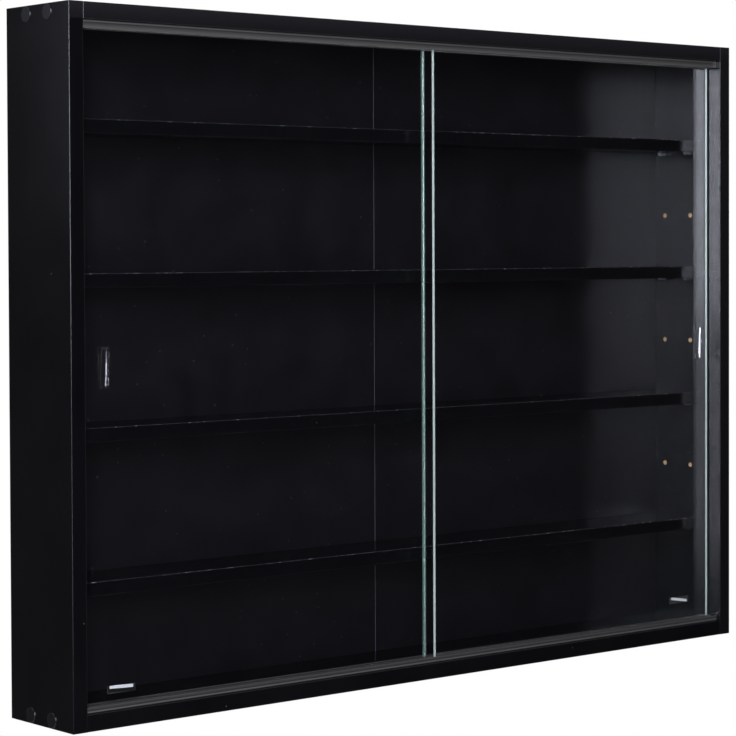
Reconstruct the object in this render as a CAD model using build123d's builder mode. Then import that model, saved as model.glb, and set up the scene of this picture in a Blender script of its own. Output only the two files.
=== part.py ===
from build123d import *
import os

# Wall display cabinet with two sliding glass doors, in millimetres.
# +X runs to the right seen from the front, +Y points into the wall, +Z is up.
# The origin lies on the wall plane, midway between the two hanger holes.

# Whole cabinet
width = 800.0
depth = 95.0
height = 600.0
board = 14.0
arris_round = 0.6
edging_round = 0.4
hanger_drop = 40.0

# Back panel, two pieces of hardboard set in a rebate
back_thickness = 3.0
rebate_width = 7.0
rebate_play = 0.5
seam_gap = 0.4
notch_height = 68.0

# Shelves and the rows of support holes
shelf_thickness = 12.0
shelf_depth = 63.0
shelf_setback = 28.5
shelf_end_gap = 1.0
row_pitch = 64.5
row_steps = (3, 2, 1, 0, -1, -2, -3)
shelf_steps = (3, 1, -1, -3)
row_centre_height = 300.5
support_front_column = 43.0
support_rear_column = 78.5
support_hole_radius = 2.5
support_hole_depth = 10.0
support_radius = 2.45
support_plug = 9.5
support_tongue = 8.0

# Corner joints: two screws in each corner, each under a stick-on cap
screw_setbacks = (32.0, 64.0)
screw_length = 42.0
screw_radius = 2.5
screw_head_radius = 4.0
screw_head_height = 3.0
screw_play = 0.1
screw_tip_room = 1.0
cap_radius = 6.5
cap_thickness = 0.9
cap_edge_round = 0.45

# Door tracks: two grooves, one behind the other
track_setback = 5.0
track_width = 18.0
track_base = 1.2
track_lip = 1.8
track_groove = 5.2
top_track_height = 7.0
bottom_track_height = 5.0
track_end_gap = 0.3
lip_round = 0.7
bead_height = 2.2
bead_groove = 0.5

# Glass doors
glass = 4.0
pane_width = 390.0
pane_side_gap = 0.2
pane_floor_gap = 0.1
arris = 0.5

# Stick-on pulls and blank stickers
pull_width = 12.5
pull_height = 35.0
pull_thickness = 4.0
pull_floor = 1.3
pull_trough_width = 9.3
pull_rim_round = 0.8
pull_centre_height = 299.5
left_pull_inset = 14.0
right_pull_inset = 11.0
sticker_width = 28.0
sticker_height = 6.5
sticker_thickness = 0.3
left_sticker_inset = 24.0
left_sticker_height = 31.0
right_sticker_inset = 30.0
right_sticker_height = 38.0

# Hanger plates on the rear edges of the sides
hanger_width = 12.0
hanger_length = 50.0
hanger_thickness = 1.5
hanger_corner_radius = 3.0
keyhole_radius = 4.25
keyhole_slot = 4.4
keyhole_rise = 9.0
hanger_screw_offset = 18.0
hanger_screw_radius = 1.5
hanger_screw_head_radius = 3.0
hanger_screw_length = 16.0
pocket_width = 9.4
pocket_depth = 10.0

# Nails that hold the back panel
nail_radius = 0.7
nail_head_radius = 1.6
nail_head_height = 0.7
nail_length = 14.0
nail_play = 0.05
nails_along_width = 8
nails_along_height = 5
nail_end_margin = 45.0

# Places worked out from the driving sizes
rear = -hanger_thickness
front = rear - depth
middle_y = (front + rear) / 2
top = hanger_drop
bottom = top - height
middle_z = (top + bottom) / 2
inner_x = width / 2 - board
inner_top = top - board
inner_bottom = bottom + board
back_front_face = rear - back_thickness
support_columns = (front + support_front_column, front + support_rear_column)
row_z = {step: bottom + row_centre_height + step * row_pitch for step in row_steps}
screw_y = [front + setback for setback in screw_setbacks]
screw_z = (top - board / 2, bottom + board / 2)
track_front = front + track_setback
front_groove_centre = track_front + track_lip + track_groove / 2
rear_groove_centre = track_front + track_width - track_lip - track_groove / 2
pane_bottom = inner_bottom + track_base + pane_floor_gap
lift_out = bottom_track_height - track_base
pane_top = inner_top - track_base - lift_out
pane_height = pane_top - pane_bottom
pane_rest_x = inner_x - pane_side_gap - pane_width / 2
door_travel = 2 * (inner_x - pane_side_gap) - pane_width
nail_line_x = inner_x + rebate_width / 2
nail_line_top = inner_top + rebate_width / 2
nail_line_bottom = inner_bottom - rebate_width / 2


def spread(first, last, count):
    """Evenly spaced values from first to last."""
    return [first + (last - first) * i / (count - 1) for i in range(count)]


nail_x = spread(-inner_x + nail_end_margin, inner_x - nail_end_margin, nails_along_width)
nail_z = spread(bottom + nail_end_margin, top - notch_height - nail_end_margin / 2, nails_along_height)
nail_places = [(x, z) for x in nail_x for z in (nail_line_top, nail_line_bottom)]
nail_places += [(x, z) for z in nail_z for x in (-nail_line_x, nail_line_x)]

os.makedirs("parts", exist_ok=True)


def save(part, name):
    """Label one finished piece and write its file."""
    part.label = name
    export_step(part, f"parts/{name}.step")


# Side panels: laminated board with support holes inside and screw holes through the ends
with BuildPart() as left_side_panel:
    with Locations((-width / 2 + board / 2, middle_y, middle_z)):
        Box(board, depth, height)
    front_edges = left_side_panel.edges().filter_by(Axis.Z).group_by(Axis.Y)[0]
    fillet(front_edges, arris_round)
    with Locations((-inner_x - rebate_width / 2, rear - back_thickness / 2, middle_z - notch_height / 2)):
        Box(rebate_width, back_thickness, height - notch_height - 2 * rebate_width, mode=Mode.SUBTRACT)
    with BuildSketch(Plane.YZ.offset(-inner_x)):
        with Locations(*[(y, z) for y in support_columns for z in row_z.values()]):
            Circle(support_hole_radius)
    extrude(amount=-support_hole_depth, mode=Mode.SUBTRACT)
    with BuildSketch(Plane.YZ.offset(-width / 2)):
        with Locations(*[(y, z) for y in screw_y for z in screw_z]):
            Circle(screw_radius + screw_play)
    extrude(amount=board, mode=Mode.SUBTRACT)
    with BuildSketch(Plane.YZ.offset(-width / 2)):
        with Locations(*[(y, z) for y in screw_y for z in screw_z]):
            Circle(screw_head_radius + screw_play)
    extrude(amount=screw_head_height + screw_play, mode=Mode.SUBTRACT)
    with BuildSketch(Plane.XZ.offset(-rear)):
        with Locations((-inner_x - board / 2, keyhole_rise / 2)):
            SlotOverall(keyhole_rise + pocket_width, pocket_width, rotation=90)
    extrude(amount=pocket_depth, mode=Mode.SUBTRACT)
    with BuildSketch(Plane.XZ.offset(-rear)):
        with Locations(*[(-inner_x - board / 2, z) for z in (hanger_screw_offset, -hanger_screw_offset)]):
            Circle(hanger_screw_radius + screw_play)
    extrude(amount=hanger_screw_length, mode=Mode.SUBTRACT)
    with BuildSketch(Plane.XZ.offset(-rear + back_thickness)):
        with Locations(*[(-nail_line_x, z) for z in nail_z]):
            Circle(nail_radius + nail_play)
    extrude(amount=nail_length, mode=Mode.SUBTRACT)
save(left_side_panel.part, "left_side_panel")

with BuildPart() as right_side_panel:
    mirror(left_side_panel.part, about=Plane.YZ)
save(right_side_panel.part, "right_side_panel")

# Top panel: sits between the sides, rebated along its lower rear edge
with BuildPart() as top_panel:
    with Locations((0, middle_y, top - board / 2)):
        Box(2 * inner_x, depth, board)
    fillet(top_panel.faces().sort_by(Axis.Y)[0].edges(), edging_round)
    with Locations((0, rear - back_thickness / 2, inner_top + rebate_width / 2)):
        Box(2 * inner_x, back_thickness, rebate_width, mode=Mode.SUBTRACT)
    for side in (-1, 1):
        with BuildSketch(Plane.YZ.offset(side * inner_x)):
            with Locations(*[(y, top - board / 2) for y in screw_y]):
                Circle(screw_radius + screw_play)
        extrude(amount=-side * (screw_length - board + screw_tip_room), mode=Mode.SUBTRACT)
    with BuildSketch(Plane.XZ.offset(-rear + back_thickness)):
        with Locations(*[(x, nail_line_top) for x in nail_x]):
            Circle(nail_radius + nail_play)
    extrude(amount=nail_length, mode=Mode.SUBTRACT)
save(top_panel.part, "top_panel")

with BuildPart() as bottom_panel:
    mirror(top_panel.part, about=Plane.XY.offset(middle_z))
save(bottom_panel.part, "bottom_panel")

# Back panel: two hardboard pieces that meet at the centre, notched round the hangers
panel_outer = inner_x + rebate_width - rebate_play
panel_top = inner_top + rebate_width - rebate_play
panel_bottom = inner_bottom - rebate_width + rebate_play
notch_x = inner_x - rebate_play
notch_z = top - notch_height - rebate_width - rebate_play
with BuildPart() as back_panel_left:
    with BuildSketch(Plane.XZ.offset(-rear)):
        Polygon(
            (-seam_gap / 2, panel_bottom),
            (-seam_gap / 2, panel_top),
            (-notch_x, panel_top),
            (-notch_x, notch_z),
            (-panel_outer, notch_z),
            (-panel_outer, panel_bottom),
            align=None,
        )
    extrude(amount=back_thickness)
    with BuildSketch(Plane.XZ.offset(-rear)):
        with Locations(*[(x, z) for x, z in nail_places if x < 0]):
            Circle(nail_radius + nail_play)
    extrude(amount=back_thickness, mode=Mode.SUBTRACT)
    with BuildSketch(Plane.XZ.offset(-rear)):
        with Locations(*[(x, z) for x, z in nail_places if x < 0]):
            Circle(nail_head_radius + nail_play)
    extrude(amount=nail_head_height, mode=Mode.SUBTRACT)
save(back_panel_left.part, "back_panel_left")

with BuildPart() as back_panel_right:
    mirror(back_panel_left.part, about=Plane.YZ)
save(back_panel_right.part, "back_panel_right")

# Nails: flat heads let into the back panel, flush with its rear face
with BuildPart() as back_nails:
    with BuildSketch(Plane.XZ.offset(-rear)):
        with Locations(*nail_places):
            Circle(nail_radius)
    extrude(amount=nail_length)
    with BuildSketch(Plane.XZ.offset(-rear)):
        with Locations(*nail_places):
            Circle(nail_head_radius)
    extrude(amount=nail_head_height)
save(back_nails.part, "back_nails")


def track(name, channel_height, base_z, up):
    """Double channel along X; up is 1 when the grooves open upwards and -1 when they open downwards."""
    mouth = base_z + up * channel_height
    groove_depth = channel_height - track_base
    with BuildPart() as piece:
        with BuildSketch(Plane.YZ.offset(-inner_x + track_end_gap)) as profile:
            with Locations((track_front + track_width / 2, base_z + up * channel_height / 2)):
                Rectangle(track_width, channel_height)
            with Locations(*[(y, mouth - up * groove_depth / 2) for y in (front_groove_centre, rear_groove_centre)]):
                Rectangle(track_groove, groove_depth, mode=Mode.SUBTRACT)
            lip_corners = profile.vertices().group_by(Axis.Z)[-1 if up > 0 else 0]
            fillet(lip_corners, lip_round)
            with Locations((track_front, base_z + up * bead_height)):
                Rectangle(2 * bead_groove, bead_groove, mode=Mode.SUBTRACT)
        extrude(amount=2 * (inner_x - track_end_gap))
    save(piece.part, name)


# Tracks: moulded double channels, one under the top panel and one on the bottom panel
track("top_track", top_track_height, inner_top, -1)
track("bottom_track", bottom_track_height, inner_bottom, 1)

# Shelves and their supports, four of each, from the top down
for number, step in enumerate(shelf_steps, start=1):
    rest_z = row_z[step]
    with BuildPart() as shelf:
        with Locations((0, front + shelf_setback + shelf_depth / 2, rest_z + shelf_thickness / 2)):
            Box(2 * (inner_x - shelf_end_gap), shelf_depth, shelf_thickness)
        fillet(shelf.faces().sort_by(Axis.Y)[0].edges(), edging_round)
    save(shelf.part, f"shelf_{number}")

    with BuildPart() as supports:
        for side in (-1, 1):
            with BuildSketch(Plane.YZ.offset(side * inner_x)):
                with Locations(*[(y, rest_z) for y in support_columns]):
                    Circle(support_radius)
            extrude(amount=side * support_plug)
            with BuildSketch(Plane.YZ.offset(side * inner_x)):
                with Locations(*[(y, rest_z) for y in support_columns]):
                    Circle(support_radius)
                with Locations(*[(y, rest_z + support_radius / 2) for y in support_columns]):
                    Rectangle(2 * support_radius, support_radius, mode=Mode.SUBTRACT)
            extrude(amount=-side * support_tongue)
    save(supports.part, f"shelf_supports_{number}")

# Corner screws: countersunk, driven through the sides into the ends of the top and bottom panels
with BuildPart() as corner_screws:
    for side in (-1, 1):
        with BuildSketch(Plane.YZ.offset(side * (width / 2 - screw_play))):
            with Locations(*[(y, z) for y in screw_y for z in screw_z]):
                Circle(screw_head_radius)
        extrude(amount=-side * screw_head_height)
        with BuildSketch(Plane.YZ.offset(side * (width / 2 - screw_head_height))):
            with Locations(*[(y, z) for y in screw_y for z in screw_z]):
                Circle(screw_radius)
        extrude(amount=-side * (screw_length - screw_head_height))
save(corner_screws.part, "corner_screws")

# Caps: round stickers with a soft edge over the screw heads
with BuildPart() as screw_caps:
    for side in (-1, 1):
        with BuildSketch(Plane.YZ.offset(side * width / 2)):
            with Locations(*[(y, z) for y in screw_y for z in screw_z]):
                Circle(cap_radius)
        extrude(amount=side * cap_thickness)
    outer_rims = screw_caps.edges().filter_by(GeomType.CIRCLE).group_by(Axis.X)
    fillet(outer_rims[0] + outer_rims[-1], cap_edge_round)
save(screw_caps.part, "screw_caps")

# Hanger plates: pressed steel with a keyhole, screwed to the rear edge of each side
with BuildPart() as hanger_left:
    with BuildSketch(Plane.XZ):
        with Locations((-inner_x - board / 2, 0)):
            RectangleRounded(hanger_width, hanger_length, hanger_corner_radius)
            Circle(keyhole_radius, mode=Mode.SUBTRACT)
        with Locations((-inner_x - board / 2, keyhole_rise / 2)):
            SlotOverall(keyhole_rise + keyhole_slot, keyhole_slot, rotation=90, mode=Mode.SUBTRACT)
        with Locations(*[(-inner_x - board / 2, z) for z in (hanger_screw_offset, -hanger_screw_offset)]):
            Circle(hanger_screw_radius + screw_play, mode=Mode.SUBTRACT)
    extrude(amount=hanger_thickness)
    with Locations(*[
        Plane((-inner_x - board / 2, -hanger_thickness / 2, z), z_dir=(0, 1, 0))
        for z in (hanger_screw_offset, -hanger_screw_offset)
    ]):
        Cone(
            hanger_screw_radius + screw_play,
            hanger_screw_head_radius + screw_play,
            hanger_thickness,
            mode=Mode.SUBTRACT,
        )
save(hanger_left.part, "hanger_left")

with BuildPart() as hanger_right:
    mirror(hanger_left.part, about=Plane.YZ)
save(hanger_right.part, "hanger_right")

# Hanger screws: countersunk wood screws, two in each plate
with BuildPart() as hanger_screws:
    for side in (-1, 1):
        for z in (hanger_screw_offset, -hanger_screw_offset):
            x = side * (inner_x + board / 2)
            with Locations(Plane((x, -hanger_thickness / 2, z), z_dir=(0, 1, 0))):
                Cone(hanger_screw_radius, hanger_screw_head_radius, hanger_thickness)
            with BuildSketch(Plane.XZ.offset(hanger_thickness)):
                with Locations((x, z)):
                    Circle(hanger_screw_radius)
            extrude(amount=hanger_screw_length - hanger_thickness)
save(hanger_screws.part, "hanger_screws")


def door(side_name, centre_x, groove_y, outward, pull_inset, sticker_inset, sticker_at):
    """One glass pane with its pull and blank sticker; outward is -1 on the left and 1 on the right."""
    face = groove_y - glass / 2
    outer_edge = centre_x + outward * pane_width / 2
    with BuildPart() as pane:
        with Locations((centre_x, groove_y, pane_bottom + pane_height / 2)):
            Box(pane_width, glass, pane_height)
        chamfer(pane.edges(), arris)
    save(pane.part, f"{side_name}_glass_pane")

    pull_x = outer_edge - outward * (pull_inset + pull_width / 2)
    with BuildPart() as pull:
        with BuildSketch(Plane.XY.offset(bottom + pull_centre_height - pull_height / 2)) as profile:
            with Locations((pull_x, face - pull_thickness / 2)):
                Rectangle(pull_width, pull_thickness)
            outer_corners = profile.vertices().group_by(Axis.Y)[0]
            fillet(outer_corners, pull_rim_round)
            half = pull_trough_width / 2
            sag = pull_thickness - pull_floor
            trough_radius = (half * half + sag * sag) / (2 * sag)
            with Locations((pull_x, face - pull_floor - trough_radius)):
                Circle(trough_radius, mode=Mode.SUBTRACT)
        extrude(amount=pull_height)
    save(pull.part, f"{side_name}_door_pull")

    sticker_x = outer_edge - outward * (sticker_inset + sticker_width / 2)
    with BuildPart() as sticker:
        with BuildSketch(Plane.XZ.offset(-face)):
            with Locations((sticker_x, bottom + sticker_at)):
                Rectangle(sticker_width, sticker_height)
        extrude(amount=sticker_thickness)
    save(sticker.part, f"{side_name}_door_sticker")


# Doors: the left one runs in the front groove, the right one in the rear groove
door("left", -pane_rest_x, front_groove_centre, -1, left_pull_inset, left_sticker_inset, left_sticker_height)
door("right", pane_rest_x, rear_groove_centre, 1, right_pull_inset, right_sticker_inset, right_sticker_height)

print(f"door travel {door_travel:.1f} mm, pane {pane_width:.1f} x {pane_height:.1f} x {glass:.1f} mm")
print(f"overlap at the centre {2 * pane_width - 2 * (inner_x - pane_side_gap):.1f} mm")
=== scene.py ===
import bpy
import bmesh
import math
from mathutils import Matrix, Vector


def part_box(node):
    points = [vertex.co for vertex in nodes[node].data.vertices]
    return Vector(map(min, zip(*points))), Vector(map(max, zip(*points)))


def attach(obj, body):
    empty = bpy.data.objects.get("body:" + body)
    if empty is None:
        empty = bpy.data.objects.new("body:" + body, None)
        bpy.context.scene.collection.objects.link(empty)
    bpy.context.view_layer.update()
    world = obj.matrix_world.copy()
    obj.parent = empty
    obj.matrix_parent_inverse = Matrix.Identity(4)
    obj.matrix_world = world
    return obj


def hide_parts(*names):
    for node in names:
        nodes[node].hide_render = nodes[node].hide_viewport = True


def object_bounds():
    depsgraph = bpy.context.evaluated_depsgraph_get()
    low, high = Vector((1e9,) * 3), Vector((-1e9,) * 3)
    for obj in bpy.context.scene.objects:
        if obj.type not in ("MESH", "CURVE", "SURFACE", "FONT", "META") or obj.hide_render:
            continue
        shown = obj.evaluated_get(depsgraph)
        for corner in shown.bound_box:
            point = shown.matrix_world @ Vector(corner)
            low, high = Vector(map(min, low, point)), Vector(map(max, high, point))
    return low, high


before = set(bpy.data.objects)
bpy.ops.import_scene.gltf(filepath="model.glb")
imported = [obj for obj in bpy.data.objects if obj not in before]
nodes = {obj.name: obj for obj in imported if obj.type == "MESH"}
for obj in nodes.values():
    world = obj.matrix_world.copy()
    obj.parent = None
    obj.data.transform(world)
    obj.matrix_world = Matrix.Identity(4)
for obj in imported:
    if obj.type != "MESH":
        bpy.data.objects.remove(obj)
cad_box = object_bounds()

# The viewpoint: a long lens a little above the cabinet's middle, well round to its left.
# The angles and the focal length were found from the carcass's corners in the photograph.
scene = bpy.context.scene
eye = Vector((-1.5031, -1.7863, -0.1601))
yaw = math.radians(40.034)
pitch = math.radians(-1.481)
roll = math.radians(-0.212)
focal_pixels = 2458.81
photo_width = 736
centre_pixel = 308.65
sensor_width = 36.0
camera_data = bpy.data.cameras.new("photo_camera")
camera_data.sensor_width = sensor_width
camera_data.lens = focal_pixels / photo_width * sensor_width
camera_data.shift_y = (centre_pixel - photo_width / 2) / photo_width
camera = bpy.data.objects.new("photo_camera", camera_data)
ahead = Vector((math.sin(yaw) * math.cos(pitch), math.cos(yaw) * math.cos(pitch), math.sin(pitch)))
level = Vector((math.cos(yaw), -math.sin(yaw), 0))
over = level.cross(ahead)
right = math.cos(roll) * level + math.sin(roll) * over
up = math.cos(roll) * over - math.sin(roll) * level
camera.matrix_world = Matrix.Translation(eye) @ Matrix((right, up, -ahead)).transposed().to_4x4()
scene.collection.objects.link(camera)
scene.camera = camera
scene.view_settings.view_transform = "Standard"

# The studio floor: a sheet of pale paper well below the cabinet, which hangs above it.
# It is matt, takes the cabinet's soft shadow, and runs out to white for the camera.
mm = 0.001
floor_drop = 0.90
floor_size = 5.2
paper_fibre = 3 * mm
white_share = 0.7


def paint(value):
    """The linear colour of an sRGB hex value."""
    parts = [int(value[i:i + 2], 16) / 255 for i in (1, 3, 5)]
    return [p / 12.92 if p <= 0.04045 else ((p + 0.055) / 1.055) ** 2.4 for p in parts] + [1.0]


def add(tree, kind, inputs=None, **settings):
    """Add a node: settings are its properties, and an input takes a value or another node's socket."""
    new = tree.nodes.new(kind)
    for name, value in settings.items():
        setattr(new, name, value)
    for name, value in (inputs or {}).items():
        if isinstance(value, bpy.types.NodeSocket):
            tree.links.new(value, new.inputs[name])
        else:
            new.inputs[name].default_value = value
    return new


def blank(name):
    """A new material with an empty node tree."""
    material = bpy.data.materials.new(name)
    material.use_nodes = True
    material.node_tree.nodes.clear()
    return material, material.node_tree


floor_paper, tree = blank("pale_studio_paper")
place = add(tree, "ShaderNodeTexCoord").outputs["Object"]
fibre = add(tree, "ShaderNodeTexNoise", {"Vector": place, "Scale": 1 / paper_fibre, "Detail": 3.0})
shade = add(
    tree, "ShaderNodeMixRGB",
    {"Fac": fibre.outputs["Fac"], "Color1": paint("#E2E2E1"), "Color2": paint("#ECECEA")},
)
paper = add(tree, "ShaderNodeBsdfDiffuse", {"Color": shade.outputs[0]})
white = add(tree, "ShaderNodeEmission", {"Color": paint("#FFFFFF"), "Strength": 1.0})
rays = add(tree, "ShaderNodeLightPath")
share = add(tree, "ShaderNodeMath", {0: rays.outputs["Is Camera Ray"], 1: white_share}, operation="MULTIPLY")
mixed = add(tree, "ShaderNodeMixShader", {0: share.outputs[0], 1: paper.outputs[0], 2: white.outputs[0]})
add(tree, "ShaderNodeOutputMaterial", {"Surface": mixed.outputs[0]})
floor_z = cad_box[0][2] - floor_drop
reach = floor_size / 2
corners = [(x * reach, y * reach, floor_z) for x, y in ((-1, -1), (1, -1), (1, 1), (-1, 1))]
floor_mesh = bpy.data.meshes.new("studio_floor")
floor_mesh.from_pydata(corners, [], [(0, 1, 2, 3)])
floor_mesh.materials.append(floor_paper)
floor = bpy.data.objects.new("studio_floor", floor_mesh)
scene.collection.objects.link(floor)

# The studio walls, as the world: white to the camera and straight through glass, with a low
# even fill. Mirrored rays meet a room that is dark in front, as black gloss needs, with a
# pale ceiling and pale walls square on to the sides and the back.
fill_level = 0.32
dark_front = 0.004
dim_rear = 0.030
ceiling_level = 0.30
far_wall_level = 0.7
half_bounce = 0.5
world = bpy.data.worlds.new("studio_surround")
scene.world = world
world.use_nodes = True
tree = world.node_tree
tree.nodes.clear()
rays = add(tree, "ShaderNodeLightPath")
toward = add(tree, "ShaderNodeTexCoord").outputs["Generated"]
x_way, y_way, z_way = add(tree, "ShaderNodeSeparateXYZ", {0: toward}).outputs
leftward = add(tree, "ShaderNodeMath", {0: y_way, 1: x_way}, operation="SUBTRACT")
sides = add(
    tree, "ShaderNodeMapRange",
    {
        "Value": leftward.outputs[0], "From Min": -1.0, "From Max": 1.4,
        "To Min": dark_front, "To Max": dim_rear,
    },
)
ceiling = add(
    tree, "ShaderNodeMapRange",
    {"Value": z_way, "From Min": 0.35, "From Max": 0.9, "To Min": 0.0, "To Max": ceiling_level},
)
off_left = add(tree, "ShaderNodeMath", {0: x_way}, operation="ABSOLUTE")
square_on = add(tree, "ShaderNodeMath", {0: off_left.outputs[0], 1: y_way}, operation="MAXIMUM")
far_walls = add(
    tree, "ShaderNodeMapRange",
    {
        "Value": square_on.outputs[0], "From Min": 0.9, "From Max": 1.0,
        "To Min": 0.0, "To Max": far_wall_level,
    },
)
dark_room = add(tree, "ShaderNodeMath", {0: sides.outputs[0], 1: far_walls.outputs[0]}, operation="ADD")
room = add(tree, "ShaderNodeMath", {0: dark_room.outputs[0], 1: ceiling.outputs[0]}, operation="ADD")
bounces = add(
    tree, "ShaderNodeMath",
    {0: rays.outputs["Glossy Depth"], 1: rays.outputs["Diffuse Depth"]}, operation="ADD",
)
straight = add(tree, "ShaderNodeMath", {0: bounces.outputs[0], 1: half_bounce}, operation="LESS_THAN")
through = add(
    tree, "ShaderNodeMath",
    {0: rays.outputs["Is Transmission Ray"], 1: straight.outputs[0]}, operation="MULTIPLY",
)
seen = add(
    tree, "ShaderNodeMath",
    {0: rays.outputs["Is Camera Ray"], 1: through.outputs[0]}, operation="MAXIMUM",
)
mirrored = add(
    tree, "ShaderNodeMath",
    {0: rays.outputs["Glossy Depth"], 1: half_bounce}, operation="GREATER_THAN",
)
unseen = add(
    tree, "ShaderNodeMapRange",
    {"Value": mirrored.outputs[0], "To Min": fill_level, "To Max": room.outputs[0]},
)
strength = add(
    tree, "ShaderNodeMapRange",
    {"Value": seen.outputs[0], "To Min": unseen.outputs[0], "To Max": 1.0},
)
surround = add(tree, "ShaderNodeBackground", {"Color": paint("#FFFFFF"), "Strength": strength.outputs[0]})
add(tree, "ShaderNodeOutputWorld", {"Surface": surround.outputs[0]})

# The lamps: a tall softbox beside the camera, weaker towards its foot, whose bounce between
# the glass and the right-hand side draws the pale strip there; a dim board off to the left,
# which the outer side mirrors; and a lamp behind, which the photograph's view doesn't meet.
key_width = 0.46
key_height = 1.60
key_foot = -0.30
key_radiance = 44.0
key_tint = "#ECF1FF"
key_distance = 2.45
skirt_height = 0.54
skirt_radiance = 10.5
middle = Vector((0.0, -0.05, -0.26))


def softbox(name, at, aim, size, radiance, tint="#FFFFFF"):
    """A rectangular area lamp of a plain radiance, turned to face a point."""
    lamp = bpy.data.lights.new(name, "AREA")
    lamp.shape = "RECTANGLE"
    lamp.size = size[0]
    lamp.size_y = size[1]
    lamp.energy = radiance * math.pi * size[0] * size[1]
    lamp.color = paint(tint)[:3]
    holder = bpy.data.objects.new(name, lamp)
    holder.location = at
    holder.rotation_euler = (Vector(aim) - Vector(at)).to_track_quat("-Z", "Y").to_euler()
    scene.collection.objects.link(holder)


key_at = middle - key_distance * Vector((math.sin(yaw), math.cos(yaw), 0))
for name, height, size, radiance in (
    ("key_softbox", key_foot + key_height / 2, (key_width, key_height), key_radiance),
    ("key_skirt", key_foot - skirt_height / 2, (key_width, skirt_height), skirt_radiance),
):
    softbox(name, (key_at.x, key_at.y, height), (middle.x, middle.y, height), size, radiance, key_tint)
softbox(
    "left_board", at=(-1.28, 0.53, 0.42), aim=(-0.4, -0.05, 0.1),
    size=(0.8, 1.15), radiance=1.3, tint="#E8ECFF",
)
softbox("rear_softbox", at=(1.9, 2.3, 1.3), aim=(0.0, 0.0, -0.26), size=(1.4, 1.4), radiance=6.0)

# The boards: particle board faced with black melamine, edged with black film, screwed
# together at the corners. The film is half glossy with a fine pearl, drawn coarse enough to
# show, and a little dust; drilled holes and the rebate show the tan chips inside.
pearl_size = 0.8 * mm
cloud_size = 60 * mm
dust_spacing = 22 * mm
chip_size = 1.6 * mm
highlight_break_size = 4 * mm
arris_width = 0.45 * mm
film_depth = 0.06 * mm
front_band = 0.8 * mm
edging_depth = 0.5 * mm
seam_width = 0.9 * mm


def dress(material, *names):
    """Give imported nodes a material."""
    for name in names:
        nodes[name].data.materials.clear()
        nodes[name].data.materials.append(material)


laminate, tree = blank("black_melamine_laminate")
place = add(tree, "ShaderNodeTexCoord").outputs["Object"]
x_at, y_at, z_at = add(tree, "ShaderNodeSeparateXYZ", {0: place}).outputs
pearl = add(tree, "ShaderNodeTexNoise", {"Vector": place, "Scale": 1 / pearl_size, "Detail": 2.0})
cloud = add(tree, "ShaderNodeTexNoise", {"Vector": place, "Scale": 1 / cloud_size, "Detail": 5.0})
tone = add(
    tree, "ShaderNodeMixRGB",
    {"Fac": cloud.outputs["Fac"], "Color1": paint("#040405"), "Color2": paint("#0A0A0C")},
)
dust_cells = add(tree, "ShaderNodeTexVoronoi", {"Vector": place, "Scale": 1 / dust_spacing})
dust = add(
    tree, "ShaderNodeMapRange",
    {"Value": dust_cells.outputs["Distance"], "From Min": 0.030, "From Max": 0.012, "To Max": 0.5},
)
dusty = add(
    tree, "ShaderNodeMixRGB",
    {"Fac": dust.outputs[0], "Color1": tone.outputs[0], "Color2": paint("#6A6A70")},
)

# The upper front arris of each shelf carries a painted highlight, a pale line broken in places.
# The steps give how far a point is from the nearest shelf's top, in shelf pitches.
shelf_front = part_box("shelf_1")[0][1]
shelf_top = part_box("shelf_1")[1][2]
shelf_pitch = shelf_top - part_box("shelf_2")[1][2]
from_top = z_at
for step, amount in (
    ("SUBTRACT", shelf_top),
    ("DIVIDE", shelf_pitch),
    ("ADD", 0.5),
    ("FRACT", 0.0),
    ("SUBTRACT", 0.5),
    ("ABSOLUTE", 0.0),
):
    from_top = add(tree, "ShaderNodeMath", {0: from_top, 1: amount}, operation=step).outputs[0]
at_top = add(tree, "ShaderNodeMath", {0: from_top, 1: arris_width / shelf_pitch}, operation="LESS_THAN")
off_front = add(tree, "ShaderNodeMath", {0: y_at, 1: shelf_front}, operation="SUBTRACT")
from_front = add(tree, "ShaderNodeMath", {0: off_front.outputs[0]}, operation="ABSOLUTE")
by_front = add(tree, "ShaderNodeMath", {0: from_front.outputs[0], 1: arris_width}, operation="LESS_THAN")
at_arris = add(tree, "ShaderNodeMath", {0: at_top.outputs[0], 1: by_front.outputs[0]}, operation="MULTIPLY")
highlight_breaks_noise = add(tree, "ShaderNodeTexNoise", {"Vector": place, "Scale": 1 / highlight_break_size, "Detail": 2.0})
highlight_breaks = add(
    tree, "ShaderNodeMapRange",
    {"Value": highlight_breaks_noise.outputs["Fac"], "From Min": 0.56, "From Max": 0.66, "To Min": 0.05, "To Max": 0.6},
)
painted_arris_highlight = add(tree, "ShaderNodeMath", {0: at_arris.outputs[0], 1: highlight_breaks.outputs[0]}, operation="MULTIPLY")
# Painted highlight: a pale colour along the shelves' upper front arrises, broken by noise.
with_arris_highlight = add(
    tree, "ShaderNodeMixRGB",
    {"Fac": painted_arris_highlight.outputs[0], "Color1": dusty.outputs[0], "Color2": paint("#9C9CA0")},
)

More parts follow.
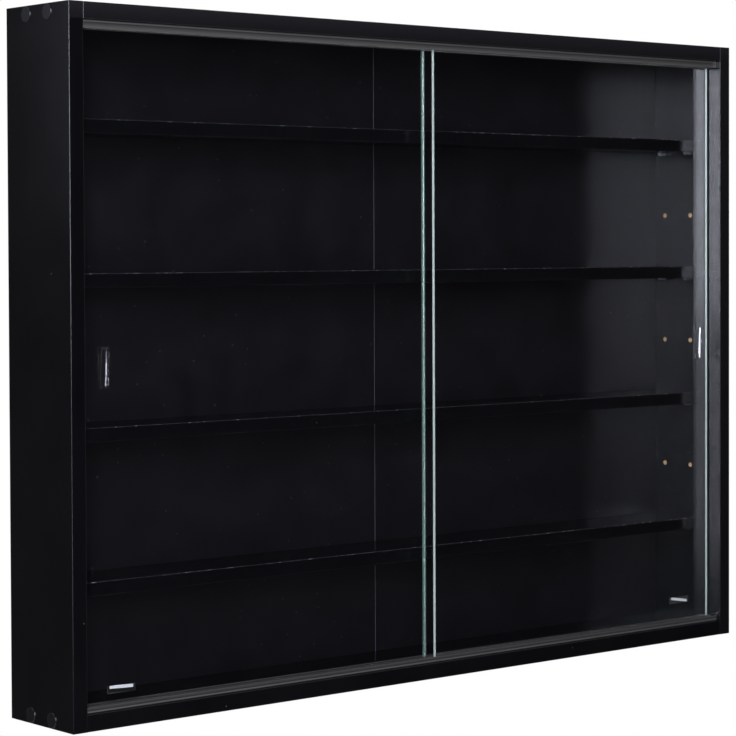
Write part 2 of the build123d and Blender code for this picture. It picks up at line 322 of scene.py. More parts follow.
# The front edges of the top panel and the right side get a painted sheen, paler higher up, in place of light
# reflected from above.
rail_low, rail_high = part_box("top_panel")
above = add(tree, "ShaderNodeMath", {0: z_at, 1: rail_low[2] - 0.05 * mm}, operation="GREATER_THAN")
beyond = add(tree, "ShaderNodeMath", {0: x_at, 1: rail_high[0] + 0.01 * mm}, operation="GREATER_THAN")
at_front = add(tree, "ShaderNodeMath", {0: y_at, 1: rail_low[1] + edging_depth}, operation="LESS_THAN")
painted_rail_sheen_ramp = add(
    tree, "ShaderNodeMapRange",
    {
        "Value": z_at, "From Min": rail_low[2] - 2 * mm, "From Max": rail_high[2],
        "To Min": 0.35, "To Max": 1.0,
    },
)
painted_side_sheen_ramp = add(
    tree, "ShaderNodeMapRange",
    {
        "Value": z_at, "From Min": cad_box[0][2], "From Max": cad_box[1][2],
        "To Min": 0.2, "To Max": 0.5,
    },
)
painted_rail_sheen = add(
    tree, "ShaderNodeMath",
    {0: above.outputs[0], 1: painted_rail_sheen_ramp.outputs[0]}, operation="MULTIPLY",
)
painted_side_sheen = add(
    tree, "ShaderNodeMath",
    {0: beyond.outputs[0], 1: painted_side_sheen_ramp.outputs[0]}, operation="MULTIPLY",
)
painted_edge_sheen = add(
    tree, "ShaderNodeMath",
    {0: painted_rail_sheen.outputs[0], 1: painted_side_sheen.outputs[0]}, operation="MAXIMUM",
)
painted_front_sheen = add(
    tree, "ShaderNodeMath",
    {0: painted_edge_sheen.outputs[0], 1: at_front.outputs[0]}, operation="MULTIPLY",
)
# Painted sheen: a paler film colour on those front edges, stronger higher up.
film_with_painted_light = add(
    tree, "ShaderNodeMixRGB",
    {"Fac": painted_front_sheen.outputs[0], "Color1": with_arris_highlight.outputs[0], "Color2": paint("#19181A")},
)

# Anything deeper than the film, on any face of a side, is bare chipboard.
inner_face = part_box("top_panel")[1][0]
outer_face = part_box("right_side_panel")[1][0]
front_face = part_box("right_side_panel")[0][1]
rear_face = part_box("right_side_panel")[1][1]
half_height = (cad_box[1][2] - cad_box[0][2]) / 2
outward = add(tree, "ShaderNodeMath", {0: x_at}, operation="ABSOLUTE").outputs[0]
from_middle = add(tree, "ShaderNodeMath", {0: z_at, 1: middle.z}, operation="SUBTRACT")
how_high = add(tree, "ShaderNodeMath", {0: from_middle.outputs[0]}, operation="ABSOLUTE").outputs[0]
within = 1.0
for way, side, limit in (
    (outward, "GREATER_THAN", inner_face + film_depth),
    (outward, "LESS_THAN", outer_face - film_depth),
    (y_at, "GREATER_THAN", front_face + front_band),
    (y_at, "LESS_THAN", rear_face - film_depth),
    (how_high, "LESS_THAN", half_height - film_depth),
):
    inside = add(tree, "ShaderNodeMath", {0: way, 1: limit}, operation=side)
    within = add(tree, "ShaderNodeMath", {0: inside.outputs[0], 1: within}, operation="MULTIPLY").outputs[0]
chips = add(tree, "ShaderNodeTexVoronoi", {"Vector": place, "Scale": 1 / chip_size})
chip_tone = add(
    tree, "ShaderNodeMixRGB",
    {"Fac": chips.outputs["Distance"], "Color1": paint("#E6CC9E"), "Color2": paint("#8F6B40")},
)
colour = add(
    tree, "ShaderNodeMixRGB",
    {"Fac": within, "Color1": film_with_painted_light.outputs[0], "Color2": chip_tone.outputs[0]},
)
sheen = add(
    tree, "ShaderNodeMapRange",
    {"Value": cloud.outputs["Fac"], "To Min": 0.13, "To Max": 0.19},
)
roughness = add(
    tree, "ShaderNodeMapRange",
    {"Value": within, "To Min": sheen.outputs[0], "To Max": 0.85},
)

# The joint of the top panel and the right side is a dull line.
seam_edge = add(tree, "ShaderNodeMath", {0: x_at, 1: rail_high[0] + seam_width}, operation="LESS_THAN")
in_seam = add(tree, "ShaderNodeMath", {0: seam_edge.outputs[0], 1: beyond.outputs[0]}, operation="MULTIPLY")
top_seam = add(tree, "ShaderNodeMath", {0: in_seam.outputs[0], 1: above.outputs[0]}, operation="MULTIPLY")
dulled = add(
    tree, "ShaderNodeMapRange",
    {"Value": top_seam.outputs[0], "To Min": roughness.outputs[0], "To Max": 0.8},
)
grain = add(
    tree, "ShaderNodeBump",
    {"Height": pearl.outputs["Fac"], "Strength": 0.2, "Distance": 0.02 * mm},
)
film = add(
    tree, "ShaderNodeBsdfPrincipled",
    {
        "Base Color": colour.outputs[0], "Roughness": dulled.outputs[0],
        "Normal": grain.outputs[0], "IOR": 1.52,
    },
)
add(tree, "ShaderNodeOutputMaterial", {"Surface": film.outputs[0]})
dress(laminate, "left_side_panel", "right_side_panel", "top_panel", "bottom_panel")

# The shelves: thinner boards of the same laminate, edged along the front, lying loose on
# four supports each.
dress(laminate, "shelf_1", "shelf_2", "shelf_3", "shelf_4")

# The back: two sheets of hardboard let into the rebate and nailed all round. The smooth face
# is lacquered black, a little cloudy and dusty; the rear is bare and stained, and shows the
# press's wire screen, drawn coarse enough to show.
back_cloud_size = 38 * mm
speck_spacing = 13 * mm
fibre_size = 1.2 * mm
stain_size = 70 * mm
fleck_size = 3 * mm
sawn_width = 0.6 * mm
screen_pitch = 3.0 * mm
screen_depth = 3.0
hardboard, tree = blank("black_lacquered_hardboard")
place = add(tree, "ShaderNodeTexCoord").outputs["Object"]
x_at, y_at = add(tree, "ShaderNodeSeparateXYZ", {0: place}).outputs[:2]
cloud = add(tree, "ShaderNodeTexNoise", {"Vector": place, "Scale": 1 / back_cloud_size, "Detail": 7.0})
tone = add(
    tree, "ShaderNodeMixRGB",
    {"Fac": cloud.outputs["Fac"], "Color1": paint("#040304"), "Color2": paint("#141316")},
)
speck_cells = add(tree, "ShaderNodeTexVoronoi", {"Vector": place, "Scale": 1 / speck_spacing})
speck = add(
    tree, "ShaderNodeMapRange",
    {"Value": speck_cells.outputs["Distance"], "From Min": 0.07, "From Max": 0.03, "To Max": 0.4},
)
speckled = add(
    tree, "ShaderNodeMixRGB",
    {"Fac": speck.outputs[0], "Color1": tone.outputs[0], "Color2": paint("#8A8A90")},
)
back_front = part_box("back_panel_left")[0][1]
bare = add(tree, "ShaderNodeMath", {0: y_at, 1: back_front + 0.05 * mm}, operation="GREATER_THAN")
fibres = add(tree, "ShaderNodeTexNoise", {"Vector": place, "Scale": 1 / fibre_size, "Detail": 4.0})
brown = add(
    tree, "ShaderNodeMixRGB",
    {"Fac": fibres.outputs["Fac"], "Color1": paint("#5C3E26"), "Color2": paint("#966E47")},
)
stain_noise = add(tree, "ShaderNodeTexNoise", {"Vector": place, "Scale": 1 / stain_size, "Detail": 7.0})
stain = add(
    tree, "ShaderNodeMapRange",
    {"Value": stain_noise.outputs["Fac"], "From Min": 0.38, "From Max": 0.66, "To Min": 0.0, "To Max": 0.3},
)
stained = add(
    tree, "ShaderNodeMixRGB",
    {"Fac": stain.outputs[0], "Color1": brown.outputs[0], "Color2": paint("#4C331F")},
)
fleck_noise = add(tree, "ShaderNodeTexNoise", {"Vector": place, "Scale": 1 / fleck_size, "Detail": 3.0})
fleck = add(
    tree, "ShaderNodeMapRange",
    {"Value": fleck_noise.outputs["Fac"], "From Min": 0.55, "From Max": 0.75, "To Min": 0.0, "To Max": 0.4},
)
flecked = add(
    tree, "ShaderNodeMixRGB",
    {"Fac": fleck.outputs[0], "Color1": stained.outputs[0], "Color2": paint("#B58D62")},
)
sideways = add(tree, "ShaderNodeMath", {0: x_at}, operation="ABSOLUTE")
at_seam = add(tree, "ShaderNodeMath", {0: sideways.outputs[0], 1: sawn_width}, operation="LESS_THAN")
sawn = add(
    tree, "ShaderNodeMixRGB",
    {"Fac": at_seam.outputs[0], "Color1": flecked.outputs[0], "Color2": paint("#6C6C70")},
)
colour = add(
    tree, "ShaderNodeMixRGB",
    {"Fac": bare.outputs[0], "Color1": speckled.outputs[0], "Color2": sawn.outputs[0]},
)
warp, weft = (
    add(
        tree, "ShaderNodeTexWave",
        {"Vector": place, "Scale": math.pi / (10 * screen_pitch)}, bands_direction=direction,
    )
    for direction in "XZ"
)
screen = add(tree, "ShaderNodeMath", {0: warp.outputs["Fac"], 1: weft.outputs["Fac"]}, operation="MULTIPLY")
deeper = add(tree, "ShaderNodeMath", {0: screen.outputs[0], 1: screen_depth}, operation="MULTIPLY")
relief = add(
    tree, "ShaderNodeMapRange",
    {"Value": bare.outputs[0], "To Min": cloud.outputs["Fac"], "To Max": deeper.outputs[0]},
)
bump = add(
    tree, "ShaderNodeBump",
    {"Height": relief.outputs[0], "Strength": 0.35, "Distance": 0.15 * mm},
)
roughness = add(
    tree, "ShaderNodeMapRange",
    {"Value": bare.outputs[0], "To Min": 0.28, "To Max": 0.75},
)
lacquer = add(
    tree, "ShaderNodeBsdfPrincipled",
    {
        "Base Color": colour.outputs[0], "Roughness": roughness.outputs[0],
        "Normal": bump.outputs[0], "IOR": 1.5,
    },
)
add(tree, "ShaderNodeOutputMaterial", {"Surface": lacquer.outputs[0]})
dress(hardboard, "back_panel_left", "back_panel_right")

# The tracks: double channels extruded in dark grey plastic, the deeper one under the top
# panel, so that a door lifts into it and out of the lower one. The die leaves fine lines
# along them, drawn wide enough to show. The colour is painted darker near the boards and
# paler further out, as painted shade and light, with a thin painted highlight line by each lip.
die_line = 0.5 * mm
highlight_offset = 1.4 * mm
highlight_width = 0.9 * mm
painted_light_start = 2.6 * mm
painted_light_end = 6.0 * mm
track_pvc, tree = blank("extruded_grey_pvc")
place = add(tree, "ShaderNodeTexCoord").outputs["Object"]
drawn = add(tree, "ShaderNodeMapping", {"Vector": place, "Scale": (0.01, 1.0, 1.0)})
lines = add(tree, "ShaderNodeTexNoise", {"Vector": drawn.outputs[0], "Scale": 1 / die_line, "Detail": 2.0})
tone = add(
    tree, "ShaderNodeMixRGB",
    {"Fac": lines.outputs["Fac"], "Color1": paint("#21201F"), "Color2": paint("#2D2C2B")},
)
z_at = add(tree, "ShaderNodeSeparateXYZ", {0: place}).outputs["Z"]
half_gap = (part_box("top_track")[1][2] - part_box("bottom_track")[0][2]) / 2
from_middle = add(tree, "ShaderNodeMath", {0: z_at, 1: middle.z}, operation="SUBTRACT")
how_high = add(tree, "ShaderNodeMath", {0: from_middle.outputs[0]}, operation="ABSOLUTE")
off_board = add(tree, "ShaderNodeMath", {0: half_gap, 1: how_high.outputs[0]}, operation="SUBTRACT")
off_highlight = add(tree, "ShaderNodeMath", {0: off_board.outputs[0], 1: highlight_offset}, operation="SUBTRACT")
highlight_distance = add(tree, "ShaderNodeMath", {0: off_highlight.outputs[0]}, operation="ABSOLUTE")
# Painted highlight: a thin pale line along the track at a set distance from the board.
painted_highlight_line = add(
    tree, "ShaderNodeMapRange",
    {"Value": highlight_distance.outputs[0], "From Min": highlight_width, "From Max": highlight_width * 0.4},
)
# Painted shade and light: darker within a few millimetres of the board, paler beyond.
painted_lip_light = add(
    tree, "ShaderNodeMapRange",
    {"Value": off_board.outputs[0], "From Min": painted_light_start, "From Max": painted_light_end},
)
with_painted_lip_light = add(
    tree, "ShaderNodeMixRGB",
    {"Fac": painted_lip_light.outputs[0], "Color1": tone.outputs[0], "Color2": paint("#403E3D")},
)
with_painted_highlight_line = add(
    tree, "ShaderNodeMixRGB",
    {"Fac": painted_highlight_line.outputs[0], "Color1": with_painted_lip_light.outputs[0], "Color2": paint("#4D4B49")},
)
sheen = add(
    tree, "ShaderNodeMapRange",
    {"Value": lines.outputs["Fac"], "To Min": 0.24, "To Max": 0.36},
)
bump = add(
    tree, "ShaderNodeBump",
    {"Height": lines.outputs["Fac"], "Strength": 0.3, "Distance": 0.05 * mm},
)
pvc = add(
    tree, "ShaderNodeBsdfPrincipled",
    {
        "Base Color": with_painted_highlight_line.outputs[0], "Roughness": sheen.outputs[0],
        "Normal": bump.outputs[0], "IOR": 1.53,
    },
)
add(tree, "ShaderNodeOutputMaterial", {"Surface": pvc.outputs[0]})
dress(track_pvc, "top_track", "bottom_track")

# The doors: panes of 4 mm float glass, clear and almost colourless, the left one in the front
# groove. Their edges are ground matt to a pencil round, which looks pale seen through the
# pane and dark green from the side. The grit is drawn coarse enough to show.
edge_radius = 1.9 * mm
edge_steps = 8
grit_size = 0.6 * mm
flat_on = 0.999


def glass(name, base, roughness, clarity):
    """Glass for the eye and for mirrored rays; lamps and soft light pass straight through it."""
    material, tree = blank(name)
    behind = add(tree, "ShaderNodeNewGeometry").outputs["Backfacing"]
    outer, inner = (paint(value) for value in base)
    tint = add(tree, "ShaderNodeMixRGB", {"Fac": behind, "Color1": outer, "Color2": inner})
    clearness = add(
        tree, "ShaderNodeMapRange",
        {"Value": behind, "To Min": clarity[0], "To Max": clarity[1]},
    )
    clear = add(
        tree, "ShaderNodeBsdfPrincipled",
        {
            "Base Color": tint.outputs[0], "Roughness": roughness, "IOR": 1.52,
            "Transmission Weight": clearness.outputs[0],
        },
    )
    passing = add(tree, "ShaderNodeBsdfTransparent", {"Color": paint("#FAFBFC")})
    rays = add(tree, "ShaderNodeLightPath")
    lamp_rays = add(
        tree, "ShaderNodeMath",
        {0: rays.outputs["Is Shadow Ray"], 1: rays.outputs["Is Diffuse Ray"]}, operation="MAXIMUM",
    )
    mix = add(
        tree, "ShaderNodeMixShader",
        {0: lamp_rays.outputs[0], 1: clear.outputs[0], 2: passing.outputs[0]},
    )
    add(tree, "ShaderNodeOutputMaterial", {"Surface": mix.outputs[0]})
    return material


float_glass = glass("clear_float_glass", base=("#F7F6F8", "#F7F6F8"), roughness=0.0, clarity=(1.0, 1.0))
ground_glass = glass("ground_glass_edge", base=("#A8D3BD", "#DBE1DA"), roughness=0.20, clarity=(0.80, 0.63))
tree = ground_glass.node_tree
place = add(tree, "ShaderNodeTexCoord").outputs["Object"]
grit = add(tree, "ShaderNodeTexNoise", {"Vector": place, "Scale": 1 / grit_size, "Detail": 2.0})
matt = add(
    tree, "ShaderNodeMapRange",
    {"Value": grit.outputs["Fac"], "From Min": 0.3, "From Max": 0.7, "To Min": 0.16, "To Max": 0.24},
)
tree.links.new(matt.outputs[0], tree.nodes["Principled BSDF"].inputs["Roughness"])


def ground_pane(node, body):
    """A pane with rounded ground edges in the place of a packed one."""
    low, high = (Vector(v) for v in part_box(node))
    shape = bmesh.new()
    bmesh.ops.create_cube(shape, size=1.0)
    for vert in shape.verts:
        vert.co = Vector(low[i] + (vert.co[i] + 0.5) * (high[i] - low[i]) for i in range(3))
    bmesh.ops.bevel(
        shape, geom=shape.edges[:], offset=edge_radius, offset_type="OFFSET",
        segments=edge_steps, profile=0.5, affect="EDGES",
    )
    shape.normal_update()
    for face in shape.faces:
        face.material_index = 0 if abs(face.normal.y) > flat_on else 1
    mesh = bpy.data.meshes.new(node)
    shape.to_mesh(mesh)
    shape.free()
    mesh.materials.append(float_glass)
    mesh.materials.append(ground_glass)
    piece = bpy.data.objects.new(node.replace("glass", "ground"), mesh)
    scene.collection.objects.link(piece)
    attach(piece, body)
    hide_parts(node)


ground_pane("left_glass_pane", "left_door")
ground_pane("right_glass_pane", "right_door")

# The pulls: clear acrylic mouldings stuck to the glass, each dished for a fingertip, with one
# gentle and one steep wall; the right one is turned end for end. Only a thin line on the wall
# that faces the lamp shows.
pull_glue = 0.05 * mm
pull_draft = 0.5 * mm
pull_rim = 0.15 * mm
dish_depth = 2.5 * mm
dish_end_wall = 1.0 * mm
dish_end_power = 36
dish_rows = 44
steep_start = 0.3 * mm
gentle_start = 0.4 * mm
wall_lean = 0.04
upright_at = 4 * mm
arc_steps = 8
crease_angle = 57
ripple_size = 6 * mm
mirror_limit = 0.30
gentle_wall = ((5.35 * mm, 57.8),)
steep_wall = ((0.9 * mm, 42.0), (12.0 * mm, 52.0), (-1.93 * mm, 0.0))
acrylic, tree = blank("clear_moulded_acrylic")
place = add(tree, "ShaderNodeTexCoord").outputs["Object"]
ripple = add(tree, "ShaderNodeTexNoise", {"Vector": place, "Scale": 1 / ripple_size, "Detail": 1.0})
wave = add(
    tree, "ShaderNodeBump",
    {"Height": ripple.outputs["Fac"], "Strength": 0.1, "Distance": 0.02 * mm},
)
gloss = add(
    tree, "ShaderNodeBsdfGlossy",
    {"Color": paint("#FFFFFF"), "Roughness": 0.04, "Normal": wave.outputs[0]},
)
see = add(tree, "ShaderNodeBsdfTransparent", {"Color": paint("#FBFDFC")})
skin = add(tree, "ShaderNodeFresnel", {"IOR": 1.49, "Normal": wave.outputs[0]})
capped = add(tree, "ShaderNodeMath", {0: skin.outputs[0], 1: mirror_limit}, operation="MINIMUM")
behind = add(tree, "ShaderNodeNewGeometry").outputs["Backfacing"]
outside = add(tree, "ShaderNodeMath", {0: 1.0, 1: behind}, operation="SUBTRACT")
mirror = add(tree, "ShaderNodeMath", {0: capped.outputs[0], 1: outside.outputs[0]}, operation="MULTIPLY")
clear = add(tree, "ShaderNodeMixShader", {0: mirror.outputs[0], 1: see.outputs[0], 2: gloss.outputs[0]})
add(tree, "ShaderNodeOutputMaterial", {"Surface": clear.outputs[0]})


def wall_section(arcs, start):
    """Points up one wall of the dish, each an x and a rise, along arcs given by radius and end angle."""
    points = [(start, 0.0)]
    angle = 0.0
    for radius, degrees in arcs:
        x, rise = points[-1]
        final = math.radians(degrees)
        for k in range(1, arc_steps + 1):
            turn = angle + (final - angle) * k / arc_steps
            across = radius * (math.sin(turn) - math.sin(angle))
            upward = radius * (math.cos(angle) - math.cos(turn))
            points.append((x + across, rise + upward))
        angle = final
    return points


def dished_pull(node, body, turned):
    """A dished moulding in the place of a packed pull; turned is 1, or -1 when it is end for end."""
    low, high = (Vector(v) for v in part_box(node))
    centre = (low + high) / 2
    edge_x = (high.x - low.x) / 2 - pull_draft
    edge_z = (high.z - low.z) / 2 - pull_draft
    dish_half = (high.z - low.z) / 2 - dish_end_wall
    steep_side = [(-x, rise) for x, rise in reversed(wall_section(steep_wall, steep_start))]
    gentle_side = wall_section(gentle_wall, gentle_start)
    levels = [dish_half * math.sin(math.pi / 2 * (2 * j / dish_rows - 1)) for j in range(dish_rows + 1)]
    shape = bmesh.new()
    front = []
    for z in [-edge_z, -edge_z + 2 * pull_rim] + levels[1:-1] + [edge_z - 2 * pull_rim, edge_z]:
        along = max(0.0, 1 - (abs(z) / dish_half) ** dish_end_power)
        past = z - upright_at
        steep_lean = wall_lean * past
        gentle_lean = wall_lean * min(past, 0.0)
        line = [(-edge_x, pull_rim), (-edge_x + 2 * pull_rim, 0.0)]
        line += [(x + steep_lean, max(0.0, dish_depth - rise) * along) for x, rise in steep_side]
        line += [(x + gentle_lean, max(0.0, dish_depth - rise) * along) for x, rise in gentle_side]
        line += [(edge_x - 2 * pull_rim, 0.0), (edge_x, pull_rim)]
        if abs(z) == edge_z:
            line = [(x, pull_rim) for x, drop in line]
        row = [
            shape.verts.new((centre.x + turned * x, low.y + drop, centre.z + turned * z))
            for x, drop in line
        ]
        front.append(row)
    for lower, upper in zip(front, front[1:]):
        for i in range(len(lower) - 1):
            shape.faces.new((lower[i], lower[i + 1], upper[i + 1], upper[i]))
    ring = front[0][:-1] + [row[-1] for row in front[:-1]]
    ring += front[-1][:0:-1] + [row[0] for row in front[:0:-1]]
    behind = []
    for v in ring:
        x = centre.x + (v.co.x - centre.x) * (edge_x + pull_draft) / edge_x
        z = centre.z + (v.co.z - centre.z) * (edge_z + pull_draft) / edge_z
        behind.append(shape.verts.new((x, high.y - pull_glue, z)))
    for i in range(len(ring)):
        k = (i + 1) % len(ring)
        shape.faces.new((ring[k], ring[i], behind[i], behind[k]))
    shape.faces.new(behind)
    bmesh.ops.recalc_face_normals(shape, faces=shape.faces)
    mesh = bpy.data.meshes.new(node)
    shape.to_mesh(mesh)
    shape.free()
    mesh.shade_smooth()
    mesh.set_sharp_from_angle(angle=math.radians(crease_angle))
    mesh.materials.append(acrylic)
    piece = bpy.data.objects.new(node.replace("door", "dished"), mesh)
    scene.collection.objects.link(piece)
    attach(piece, body)
    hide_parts(node)


dished_pull("left_door_pull", "left_door", 1)
dished_pull("right_door_pull", "right_door", -1)

# The stickers: small strips of dark printed film in the lower corners of the glass, half
# matt, each with a thin faint border and a plain pale bar. A bar's place is its lean in
# degrees and its rise above the strip's middle.
bar_places = {"left_door_sticker": (2.5, 1.75 * mm), "right_door_sticker": (9.0, 0.3 * mm)}
bar_margin = 2.2 * mm
bar_half = 1.35 * mm
border_width = 0.5 * mm
border_share = 0.04
ink_grain = 1.0 * mm
for node, (lean, rise) in bar_places.items():
    low, high = (Vector(v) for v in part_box(node))
    half_x = (high.x - low.x) / 2
    half_z = (high.z - low.z) / 2
    film, tree = blank(f"printed_film_{node}")
    place = add(tree, "ShaderNodeTexCoord").outputs["Object"]
    centred = add(tree, "ShaderNodeVectorMath", {0: place, 1: (low + high) / 2}, operation="SUBTRACT")
    turned = add(
        tree, "ShaderNodeMapping",
        {"Vector": centred.outputs[0], "Rotation": (0.0, -math.radians(lean), 0.0)},
    )
    x_at, y_at, z_at = add(tree, "ShaderNodeSeparateXYZ", {0: turned.outputs[0]}).outputs
    off_line = add(tree, "ShaderNodeMath", {0: z_at, 1: rise}, operation="SUBTRACT")
    off_x, off_bar, off_z = (
        add(tree, "ShaderNodeMath", {0: way}, operation="ABSOLUTE").outputs[0]
        for way in (x_at, off_line.outputs[0], z_at)
    )
    in_x = add(tree, "ShaderNodeMath", {0: off_x, 1: half_x - bar_margin}, operation="LESS_THAN")
    in_z = add(tree, "ShaderNodeMath", {0: off_bar, 1: bar_half}, operation="LESS_THAN")
    bar = add(tree, "ShaderNodeMath", {0: in_x.outputs[0], 1: in_z.outputs[0]}, operation="MULTIPLY")
    edge_x = add(tree, "ShaderNodeMath", {0: off_x, 1: half_x - border_width}, operation="GREATER_THAN")
    edge_z = add(tree, "ShaderNodeMath", {0: off_z, 1: half_z - border_width}, operation="GREATER_THAN")
    border = add(tree, "ShaderNodeMath", {0: edge_x.outputs[0], 1: edge_z.outputs[0]}, operation="MAXIMUM")
    faint = add(tree, "ShaderNodeMath", {0: border.outputs[0], 1: border_share}, operation="MULTIPLY")
    printed = add(tree, "ShaderNodeMath", {0: bar.outputs[0], 1: faint.outputs[0]}, operation="MAXIMUM")
    ink = add(tree, "ShaderNodeTexNoise", {"Vector": place, "Scale": 1 / ink_grain, "Detail": 2.0})
    pale = add(
        tree, "ShaderNodeMixRGB",
        {"Fac": ink.outputs["Fac"], "Color1": paint("#8C8E90"), "Color2": paint("#C4C6C8")},
    )
    colour = add(
        tree, "ShaderNodeMixRGB",
        {"Fac": printed.outputs[0], "Color1": paint("#070708"), "Color2": pale.outputs[0]},
    )
    print_coat = add(tree, "ShaderNodeBsdfPrincipled", {"Base Color": colour.outputs[0], "Roughness": 0.35})
    add(tree, "ShaderNodeOutputMaterial", {"Surface": print_coat.outputs[0]})
    dress(film, node)

# The shelf supports: steel pins with a half-round tongue, pressed into the 5 mm holes and
# plated with bright zinc, which is cool, a little mottled and finely scratched. The scratches
# are drawn wide enough to show.
mottle_size = 2.5 * mm
scratch_size = 0.25 * mm
zinc, tree = blank("bright_zinc_plate")
place = add(tree, "ShaderNodeTexCoord").outputs["Object"]
mottle = add(tree, "ShaderNodeTexNoise", {"Vector": place, "Scale": 1 / mottle_size, "Detail": 3.0})
drawn = add(tree, "ShaderNodeMapping", {"Vector": place, "Scale": (1.0, 1.0, 0.05)})
scratch = add(
    tree, "ShaderNodeTexNoise",
    {"Vector": drawn.outputs[0], "Scale": 1 / scratch_size, "Detail": 2.0},
)
tone = add(
    tree, "ShaderNodeMixRGB",
    {"Fac": mottle.outputs["Fac"], "Color1": paint("#A9ADB3"), "Color2": paint("#CDD0D4")},
)
sheen = add(
    tree, "ShaderNodeMapRange",
    {"Value": scratch.outputs["Fac"], "To Min": 0.22, "To Max": 0.42},
)
bump = add(
    tree, "ShaderNodeBump",
    {"Height": scratch.outputs["Fac"], "Strength": 0.25, "Distance": 0.03 * mm},
)
plate = add(
    tree, "ShaderNodeBsdfPrincipled",
    {
        "Base Color": tone.outputs[0], "Metallic": 1.0, "Roughness": sheen.outputs[0],
        "Normal": bump.outputs[0],
    },
)
add(tree, "ShaderNodeOutputMaterial", {"Surface": plate.outputs[0]})
dress(zinc, "shelf_supports_1", "shelf_supports_2", "shelf_supports_3", "shelf_supports_4")

# The corner screws: zinc-plated, countersunk into the sides, eight in all, each under its
# cap: a round stick-on cover of black film with a soft raised rim and a faintly pebbled face.
peel_size = 1.2 * mm
dress(zinc, "corner_screws")
cap_film, tree = blank("black_cover_film")
place = add(tree, "ShaderNodeTexCoord").outputs["Object"]
peel = add(tree, "ShaderNodeTexNoise", {"Vector": place, "Scale": 1 / peel_size, "Detail": 2.0})
tone = add(
    tree, "ShaderNodeMixRGB",
    {"Fac": peel.outputs["Fac"], "Color1": paint("#0A0A0C"), "Color2": paint("#101013")},
)
bump = add(
    tree, "ShaderNodeBump",
    {"Height": peel.outputs["Fac"], "Strength": 0.3, "Distance": 0.03 * mm},
)
vinyl = add(
    tree, "ShaderNodeBsdfPrincipled",
    {"Base Color": tone.outputs[0], "Roughness": 0.24, "Normal": bump.outputs[0], "IOR": 1.5},
)
add(tree, "ShaderNodeOutputMaterial", {"Surface": vinyl.outputs[0]})
dress(cap_film, "screw_caps")

# The nails: plated steel, with a flat head let into the hardboard, a rolled rim, a thin shank
# and a pointed tip, driven in all round the back.
nail_head_sides = 20
nail_shank_sides = 12
nail_sizes = {
    "Head radius": 1.6 * mm,
    "Rim": 0.15 * mm,
    "Head height": 0.7 * mm,
    "Shank radius": 0.7 * mm,
    "Shank length": 11.3 * mm,
    "Tip length": 2.0 * mm,
}


def solid_middles(node):
    """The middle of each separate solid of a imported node, read from a merged copy of its mesh."""
    copy = bmesh.new()
    copy.from_mesh(nodes[node].data)
    bmesh.ops.remove_doubles(copy, verts=copy.verts, dist=0.001 * mm)
    waiting = set(copy.verts)
    middles = []
    while waiting:
        island = [waiting.pop()]
        for vert in island:
            for edge in vert.link_edges:
                other = edge.other_vert(vert)
                if other in waiting:
                    waiting.remove(other)
                    island.append(other)
        sides = [(min(v.co[i] for v in island), max(v.co[i] for v in island)) for i in range(3)]
        middles.append(tuple((low + high) / 2 for low, high in sides))
    copy.free()
    return middles


def new_tree(name, sizes):
    """A geometry node tree with a geometry input and output and one float input for each size."""
    tree = bpy.data.node_groups.new(name, "GeometryNodeTree")
    tree.interface.new_socket("Geometry", in_out="INPUT", socket_type="NodeSocketGeometry")
    for size in sizes:
        tree.interface.new_socket(size, in_out="INPUT", socket_type="NodeSocketFloat")
    tree.interface.new_socket("Geometry", in_out="OUTPUT", socket_type="NodeSocketGeometry")
    return tree, add(tree, "NodeGroupInput").outputs


def turned_parts(tree, cones):
    """Cones one below the other, from the head down: each has its sides, two radii and a length."""
    below = 0.0
    parts = []
    for sides, top, bottom, length in cones:
        cone = add(
            tree, "GeometryNodeMeshCone",
            {"Vertices": sides, "Radius Top": top, "Radius Bottom": bottom, "Depth": length},
        )
        below = add(tree, "ShaderNodeMath", {0: below, 1: length}, operation="SUBTRACT").outputs[0]
        offset = add(tree, "ShaderNodeCombineXYZ", {"Z": below})
        moved = add(
            tree, "GeometryNodeTransform",
            {"Geometry": cone.outputs["Mesh"], "Translation": offset.outputs[0]},
        )
        parts.append(moved.outputs[0])
    return parts


def drive_in(tree, points, parts, twist):
    """Join the parts, set them on every point with the head to the rear, and plate them."""
    joined = add(tree, "GeometryNodeJoinGeometry")
    for part in parts:
        tree.links.new(part, joined.inputs[0])
    placed = add(
        tree, "GeometryNodeInstanceOnPoints",
        {"Points": points, "Instance": joined.outputs[0], "Rotation": (-math.pi / 2, twist, 0.0)},
    )
    real = add(tree, "GeometryNodeRealizeInstances", {0: placed.outputs[0]})
    plated = add(tree, "GeometryNodeSetMaterial", {"Geometry": real.outputs[0], "Material": zinc})
    add(tree, "NodeGroupOutput", {0: plated.outputs[0]})


def set_on_points(name, tree, points, sizes):
    """The plain mesh that a node tree makes on loose points, with its named inputs set."""
    loose = bpy.data.meshes.new(f"{name}_points")
    loose.from_pydata(points, [], [])
    carrier = bpy.data.objects.new(f"{name}_points", loose)
    scene.collection.objects.link(carrier)
    modifier = carrier.modifiers.new(name, "NODES")
    modifier.node_group = tree
    for socket in tree.interface.items_tree:
        if socket.in_out == "INPUT" and socket.name in sizes:
            modifier[socket.identifier] = sizes[socket.name]
    made = carrier.evaluated_get(bpy.context.evaluated_depsgraph_get())
    mesh = bpy.data.meshes.new_from_object(made)
    bpy.data.objects.remove(carrier)
    piece = bpy.data.objects.new(name, mesh)
    scene.collection.objects.link(piece)
    return piece


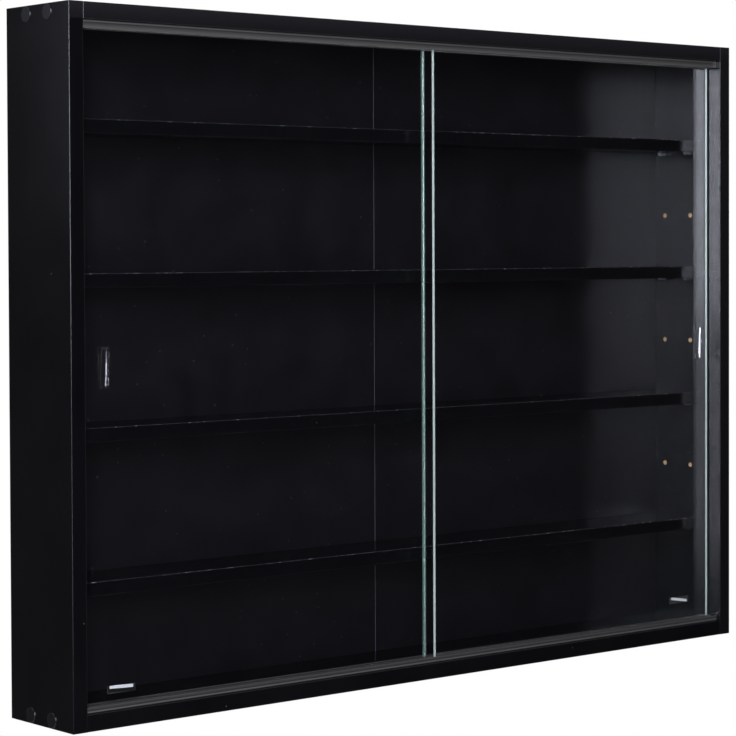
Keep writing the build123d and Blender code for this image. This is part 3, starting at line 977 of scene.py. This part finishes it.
nail_tree, given = new_tree("panel_nail", nail_sizes)
head_radius = given["Head radius"]
shank_radius = given["Shank radius"]
rim_radius = add(nail_tree, "ShaderNodeMath", {0: head_radius, 1: given["Rim"]}, operation="SUBTRACT")
head_depth = add(
    nail_tree, "ShaderNodeMath",
    {0: given["Head height"], 1: given["Rim"]}, operation="SUBTRACT",
)
nail_parts = turned_parts(nail_tree, (
    (nail_head_sides, rim_radius.outputs[0], head_radius, given["Rim"]),
    (nail_head_sides, head_radius, head_radius, head_depth.outputs[0]),
    (nail_shank_sides, shank_radius, shank_radius, given["Shank length"]),
    (nail_shank_sides, shank_radius, 0.0, given["Tip length"]),
))
drive_in(nail_tree, given["Geometry"], nail_parts, 0.0)
nail_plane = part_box("back_nails")[1][1]
nail_points = [(x, nail_plane, z) for x, y, z in solid_middles("back_nails")]
nails = set_on_points("panel_nails", nail_tree, nail_points, nail_sizes)
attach(nails, "carcass")
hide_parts("back_nails")

# The hangers: pressed steel plates with a keyhole each, which let the cabinet drop onto two
# wall screws. They are zinc-plated as the supports are.
dress(zinc, "hanger_left", "hanger_right")

# The hanger screws: countersunk wood screws with a cross recess, two in each plate, driven
# into the rear edges of the sides. They are plated too.
screw_head_sides = 32
screw_shank_sides = 16
screw_twist = 0.5
screw_sizes = {
    "Head radius": 3.0 * mm,
    "Shank radius": 1.5 * mm,
    "Head height": 1.5 * mm,
    "Shank length": 12.5 * mm,
    "Tip length": 2.0 * mm,
    "Recess length": 3.4 * mm,
    "Recess width": 0.8 * mm,
    "Recess depth": 1.1 * mm,
}
screw_tree, given = new_tree("cross_head_screw", screw_sizes)
shank_radius = given["Shank radius"]
head, shank, tip = turned_parts(screw_tree, (
    (screw_head_sides, given["Head radius"], shank_radius, given["Head height"]),
    (screw_shank_sides, shank_radius, shank_radius, given["Shank length"]),
    (screw_shank_sides, shank_radius, 0.0, given["Tip length"]),
))
double_depth = add(screw_tree, "ShaderNodeMath", {0: given["Recess depth"], 1: 2.0}, operation="MULTIPLY")
for across, along in (("Recess length", "Recess width"), ("Recess width", "Recess length")):
    size = add(
        screw_tree, "ShaderNodeCombineXYZ",
        {"X": given[across], "Y": given[along], "Z": double_depth.outputs[0]},
    )
    cutter = add(screw_tree, "GeometryNodeMeshCube", {"Size": size.outputs[0]})
    recess = add(
        screw_tree, "GeometryNodeMeshBoolean",
        {"Mesh 1": head, "Mesh 2": cutter.outputs["Mesh"]}, operation="DIFFERENCE", solver="EXACT",
    )
    head = recess.outputs["Mesh"]
drive_in(screw_tree, given["Geometry"], (head, shank, tip), screw_twist)
screw_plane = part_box("hanger_screws")[1][1]
screw_points = [(x, screw_plane, z) for x, y, z in solid_middles("hanger_screws")]
screws = set_on_points("cross_head_screws", screw_tree, screw_points, screw_sizes)
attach(screws, "carcass")
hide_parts("hanger_screws")
